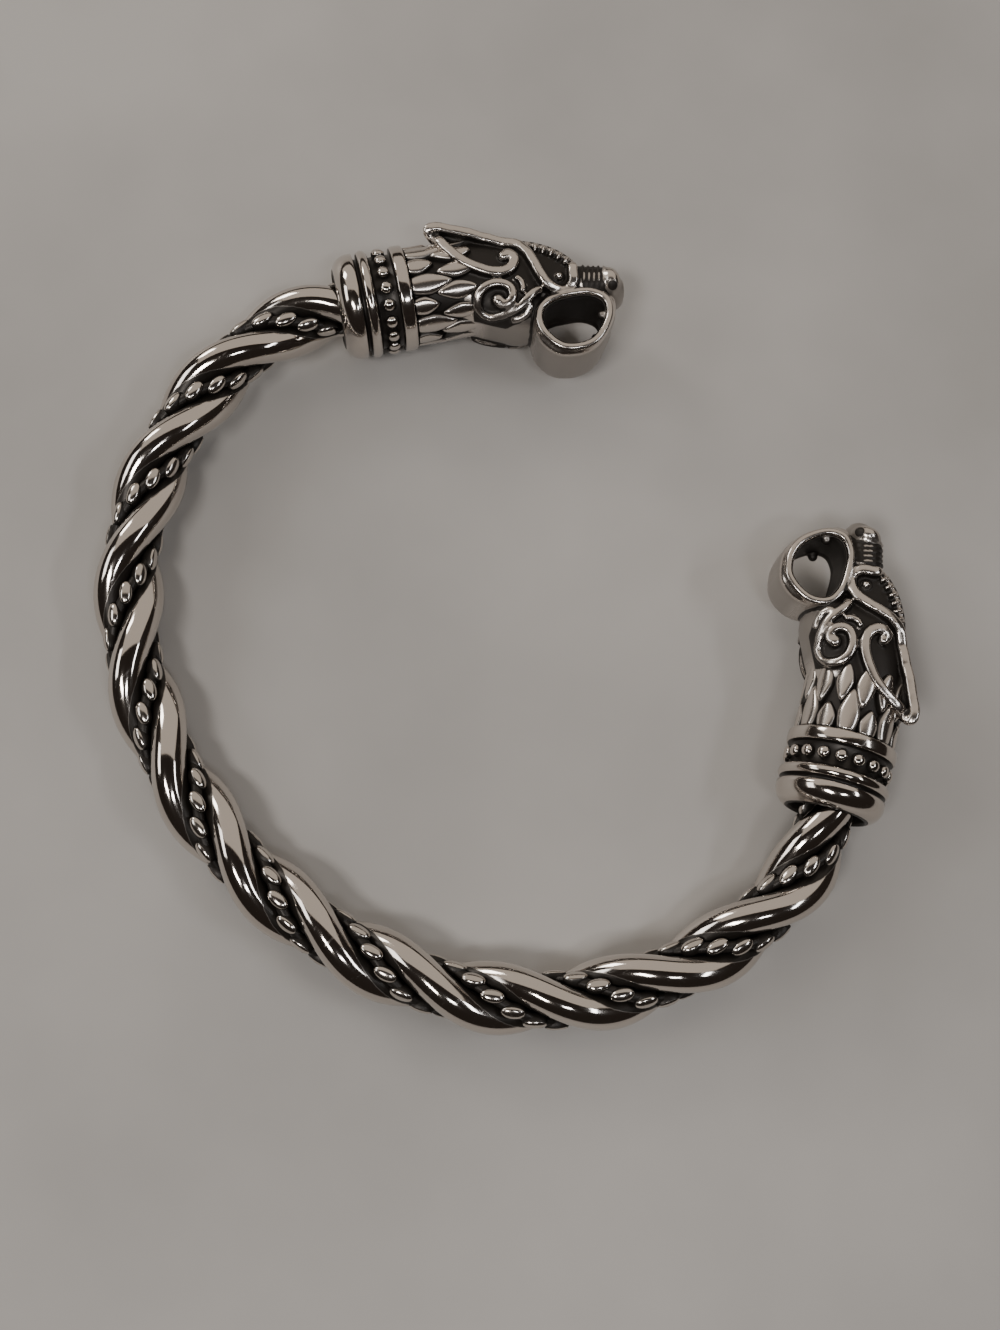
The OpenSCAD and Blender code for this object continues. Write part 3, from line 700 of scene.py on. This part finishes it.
def head_parts():
    """Every closed surface of the casting, and points along the middle of its relief."""
    parts, lines = [head_body()], []
    one = np.ones((6, 1))
    peg = np.stack([np.linspace(0, 2.8, 6), np.zeros(6), np.zeros(6)], -1)
    parts.append(tube(peg, one * [0, 1, 0], one * [0, 0, 1], 3.2, 3.2, 40))
    inner, outer = jaw_radius(JAW_HOLE, AROUND), jaw_radius(JAW_OUT, AROUND)
    parts.append(jaw_ring(inner, outer, JAW_HALF, 0.0, 0.5))
    crown = np.append(smooth_path(CROWN, 30), np.zeros((30, 1)), 1)
    along = unit(np.gradient(crown, axis=0))
    parts.append(tube(crown, np.cross([0, 0, 1.0], along), np.ones((30, 1)) * [0, 0, 1],
                      0.5, CROWN_HALF, 40, 0.45))
    for k in (-1, 1):
        parts.append(ear_plate(k))
        shapes = [(EAR_LINE, 0.50, 0.46, 260), (SCROLL, 0.42, 0.44, 200)]
        shapes += [(pts, wide, 0.36, 70) for pts, wide in TENDRILS]
        for pts, wide, high, count in shapes:
            made, c = relief_line(pts, k, wide, high, count)
            parts.append(made)
            lines.append(c)
        for place, lift, size in ((SCROLL_KNOB, 0.3, (0.62, 0.62, 0.5)), (EAR_KNOB, 0.3, (0.58, 0.52, 0.5)),
                                  (EYE, 0.12, (0.45, 0.45, 0.5))):
            parts.append(lump(on_side(np.array([[*place, lift]]), k)[0], size))
        lines.append(on_side(np.array([[*SCROLL_KNOB, 0.5], [*EYE, 0.45]]), k))
        parts.append(jaw_ring(inner - 0.03, inner + 0.85, 0.62, k * 2.85, 0.75))
        parts.append(lump(np.multiply(NOSE, (1, 1, k)), (1.05, 1.5, 1.5), 0.1))
        parts.append(lump(np.multiply(FANG, (1, 1, k)), (0.5, 0.5, 0.5)))
        tooth = smooth_path(CROWN[1:], 7)
        slope = np.gradient(tooth, axis=0)
        for (x, y), (dx, dy) in zip(tooth, slope):
            parts.append(lump((x - 0.06, y - 0.3, k * CROWN_HALF), (0.19, 0.55, 0.42), math.atan2(dy, dx), 0.8))
            lines.append(np.array([[x - 0.06, y - 0.2, k * 3.0]]))
    for x in RIBS:
        top, low, wide = (float(v[0]) for v in head_section(np.array([x])))
        parts.append(lump((x, (top + low) / 2 + 0.12, 0), (0.16, (top - low) / 2 + 0.1, wide + 0.14),
                          -0.25, 0.75))
    return parts, np.concatenate(lines)


def cast_together(parts, voxel):
    """Joins closed surfaces into one skin on a fine grid and rounds it a little, in millimetres."""
    mesh = bpy.data.meshes.new("casting")
    fill_mesh(mesh, *joined(parts))
    body = bpy.data.objects.new("casting", mesh)
    bpy.context.scene.collection.objects.link(body)
    remesh = body.modifiers.new("skin", "REMESH")
    remesh.mode = "VOXEL"
    remesh.voxel_size = voxel
    remesh.use_smooth_shade = True
    soften = body.modifiers.new("soften", "SMOOTH")
    soften.factor = 0.5
    soften.iterations = 9
    done = bpy.data.meshes.new_from_object(body.evaluated_get(bpy.context.evaluated_depsgraph_get()))
    verts = np.empty(len(done.vertices) * 3, np.float32)
    done.vertices.foreach_get("co", verts)
    verts = verts.reshape(-1, 3).astype(float)
    normals = np.empty(len(done.vertices) * 3, np.float32)
    done.vertices.foreach_get("normal", normals)
    edges = np.empty(len(done.edges) * 2, np.int32)
    done.edges.foreach_get("vertices", edges)
    total = np.empty(len(done.polygons), np.int32)
    done.polygons.foreach_get("loop_total", total)
    corners = np.empty(len(done.loops), np.int32)
    done.loops.foreach_get("vertex_index", corners)
    first = np.cumsum(total) - total
    quads = corners[first[total == 4][:, None] + np.arange(4)]
    tris = corners[first[total == 3][:, None] + np.arange(3)]
    bpy.data.objects.remove(body)
    bpy.data.meshes.remove(mesh)
    bpy.data.meshes.remove(done)
    return verts, quads, tris, normals.reshape(-1, 3), edges.reshape(-1, 2)


def hollowness(verts, normals, edges, rounds):
    """How far a point lies below its own surroundings, after averaging with its neighbours."""
    a, b = edges[:, 0], edges[:, 1]
    near = np.bincount(np.concatenate([a, b]), minlength=len(verts))[:, None]
    p = verts.copy()
    for _ in range(rounds):
        total = np.stack([np.bincount(a, p[b, c], len(verts)) + np.bincount(b, p[a, c], len(verts))
                          for c in range(3)], -1)
        p = 0.4 * p + 0.6 * total / near
    return np.einsum("ij,ij->i", p - verts, normals)


def head_black(verts, normals, edges, lines):
    """Blackness from 0 to 1: the fields between the relief, the neck under the leaves, the jaw's inside,
    the nose between its ribs, the nostrils and every small hollow; painted shade as grey on the downward-facing
    throat, and grey on the jaw's outer wall, partly patina and partly painted shade."""
    x, y, z = verts.T
    near = np.full(len(verts), 9.0)
    for line in np.array_split(lines, 24):
        gap = verts[:, None].astype(np.float32) - line[None].astype(np.float32)
        gap = np.hypot(gap[..., 0], gap[..., 1]) + 2 * np.maximum(0, np.abs(gap[..., 2]) - 0.6)
        near = np.minimum(near, gap.min(1))
    ear_low = np.interp(x, [5.25, 6.45, 7.45, 8.95, 10.5, 11.8], [4.8, 2.4, 0.85, -0.3, -1.0, -1.0])
    cheek_low = np.interp(x, [7.5, 7.9, 8.95, 10.5, 12.1, 13.25, 14.15, 15.05, 18.45],
                          [-3.3, -4.6, -5.4, -5.75, -5.85, -5.4, -4.7, -4.0, -3.6])
    edge = np.where(x < 7.9, ear_low, cheek_low)
    field = (step(y, edge - 0.1, edge + 0.1) * step(np.abs(z), 1.4, 1.9)
             * step(x, 5.1, 5.5) * (1 - step(x, 18.35, 18.65)))
    flank = 1 - step(np.abs(normals[:, 2]), 0.35, 0.6)
    black = field * np.maximum(step(near, 0.44, 0.54), flank)
    radial = np.hypot(y, z)
    neck = (1 - step(x, 8.2, 8.7)) * (1 - np.clip(field, 0, 1))
    black = np.maximum(black, neck * (1 - step(radial, 4.30, 4.50)))
    a, r = np.arctan2(y - JAW_MID[1], x - JAW_MID[0]), np.hypot(y - JAW_MID[1], x - JAW_MID[0])
    inside = (1 - step(r - jaw_radius(JAW_HOLE, a), 0.05, 0.2)) * (1 - step(np.abs(z), 2.85, 3.2))
    black = np.maximum(black, inside)
    snout = (step(x, 18.8, 18.95) * (1 - step(x, 20.95, 21.15))
             * step(y - np.interp(x, [18.8, 20.04, 21.5], [-3.5, -3.65, -4.5]), 0, 0.15))
    along = (x - 0.255 * (y + 2.5) - RIBS[0]) / 0.5
    top, low, _ = head_section(x)
    off_ridge = np.minimum(np.abs(y - (top + low) / 2) - 0.3, top - y - 0.1)
    off_rib = np.abs(along - np.clip(np.round(along), 0, 4))
    black = np.maximum(black, snout * np.maximum(step(off_rib, 0.05, 0.3), step(off_ridge, 0.0, 0.3)))
    nostril = np.linalg.norm(np.stack([x, y, np.abs(z)], -1) - NOSTRIL, axis=1)
    black = np.maximum(black, 1 - step(nostril, 0.45, 0.6))
    # Grey on the jaw's outer wall: partly patina, partly painted shade.
    wall = (step(r - jaw_radius(JAW_OUT, a), -0.45, -0.2) * (1 - step(np.abs(z), 2.5, 2.9))
            * step(x, 13.0, 13.6))
    # Grey on the throat where its surface faces down: painted shade.
    throat = (1 - step(normals[:, 1], -0.9, -0.5)) * step(x, 8.0, 9.5) * (1 - step(x, 13.0, 13.6))
    black = np.maximum(black, np.maximum(WALL_PATINA_AND_SHADE * wall, THROAT_PAINTED_SHADE * throat))
    small = step(hollowness(verts, normals, edges, 8), 0.0, 0.035)
    broad = step(hollowness(verts, normals, edges, 60), 0.08, 0.30) * step(x, 2.5, 3.0)
    return np.clip(np.maximum(black, np.maximum(small, broad) * 0.9), 0, 1)


# A floor of 1.3 times the value darkens the oxide's soft edges and holds the painted shade on throat and jaw
# wall.
HEAD_STEEL = steel("head_steel", (0.65, 0.60, 0.555, 1), (0.024, 0.020, 0.017, 1), 0.18, marks=0.6, patina_and_shade_floor=1.3)
parts, relief = head_parts()
verts, quads, tris, normals, edges = cast_together(parts, VOXEL)
black = head_black(verts, normals, edges, relief)
leaves = neck_leaves()
leaf_black = 1 - step(np.hypot(leaves[0][:, 1], leaves[0][:, 2]), 4.48, 4.64)
verts, quads, tris = joined([(verts, quads, tris), leaves])
black = np.append(black, leaf_black)
for end_name, k in (("left", -1), ("right", 1)):
    placed = end_place(k, verts + [DRAW_FROM, 0, 0])
    steel_piece("beast_" + end_name, *turned_out(placed, quads, tris), black, HEAD_STEEL,
                "head_" + end_name, "blackened_steel")

# The table top that the ring lies on, in a plain pale finish.
table = bpy.data.meshes.new("table")
fill_mesh(table, np.array([(-1.5, -1.5, 0), (1.5, -1.5, 0), (1.5, 1.5, 0), (-1.5, 1.5, 0)], float),
          np.array([[0, 1, 2, 3]]), np.zeros((0, 3), int))
table_top = bpy.data.objects.new("table", table)
bpy.context.scene.collection.objects.link(table_top)
table_finish = bpy.data.materials.new("table_finish")
table_finish.use_nodes = True
n, l = table_finish.node_tree.nodes, table_finish.node_tree.links
cloud = noise(n, l, n.new("ShaderNodeTexCoord").outputs["Object"], 19.0, 5.0)
tone = n.new("ShaderNodeMix")
tone.data_type = "RGBA"
tone.inputs["A"].default_value = (0.42, 0.403, 0.384, 1)
tone.inputs["B"].default_value = (0.54, 0.519, 0.496, 1)
patches = math_node(n, l, "MULTIPLY", math_node(n, l, "SUBTRACT", cloud, 0.35), 3.0, True)
l.new(patches, tone.inputs["Factor"])
l.new(tone.outputs["Result"], n["Principled BSDF"].inputs["Base Color"])
n["Principled BSDF"].inputs["Roughness"].default_value = 0.55
table.materials.append(table_finish)

# Soft studio light: dim surroundings, one wide pale panel from the far side up
# to overhead, and smaller lamps round the other sides that leave the bright
# streaks on the steel and the faint shadows inside the ring.
world = bpy.data.worlds.new("surroundings")
world.use_nodes = True
world.node_tree.nodes["Background"].inputs["Color"].default_value = (0.024, 0.019, 0.016, 1)
world.node_tree.nodes["Background"].inputs["Strength"].default_value = 1.0
bpy.context.scene.world = world


def lamp(name, azimuth, height, away, size, power, colour):
    """A lamp at an azimuth and an angle above the table, both in degrees, facing the ring."""
    light = bpy.data.lights.new(name, "AREA")
    light.shape = "RECTANGLE"
    light.size, light.size_y = size
    light.energy = power
    light.color = colour
    made = bpy.data.objects.new(name, light)
    a, h = math.radians(azimuth), math.radians(height)
    made.location = (away * math.cos(a) * math.cos(h), away * math.sin(a) * math.cos(h), away * math.sin(h))
    made.rotation_euler = (math.radians(90 - height), 0, a + math.pi / 2)
    bpy.context.scene.collection.objects.link(made)


lamp("pale_wall", -44, 46, 1.0, (2.2, 1.35), 5.3, (1.0, 0.90, 0.79))
lamp("left_window", 42, 33, 0.85, (0.40, 0.22), 1.0, (1.0, 0.98, 0.95))
lamp("corner_window", 2, 26, 0.85, (0.20, 0.18), 1.1, (1.0, 0.96, 0.90))
lamp("key", 96, 58, 0.85, (0.24, 0.12), 2.2, (1.0, 0.96, 0.92))
lamp("near_strip", 158, 62, 0.85, (0.16, 0.07), 0.7, (0.98, 0.98, 1.0))
lamp("right_strip", -140, 48, 0.85, (0.3, 0.07), 0.8, (0.95, 0.97, 1.0))

# The camera looks down on the table, tipped a little, as the photo was taken.
camera = bpy.data.cameras.new("camera")
camera.lens = 1605.0 / 1330.0 * 36.0
camera.sensor_width = 36.0
camera.clip_start = 0.01
eye = bpy.data.objects.new("camera", camera)
eye.location = (-0.0228, 0.0359, 0.1487)
eye.rotation_euler = (math.radians(14.74), math.radians(-4.68), math.radians(226.91))
bpy.context.scene.collection.objects.link(eye)
bpy.context.scene.camera = eye
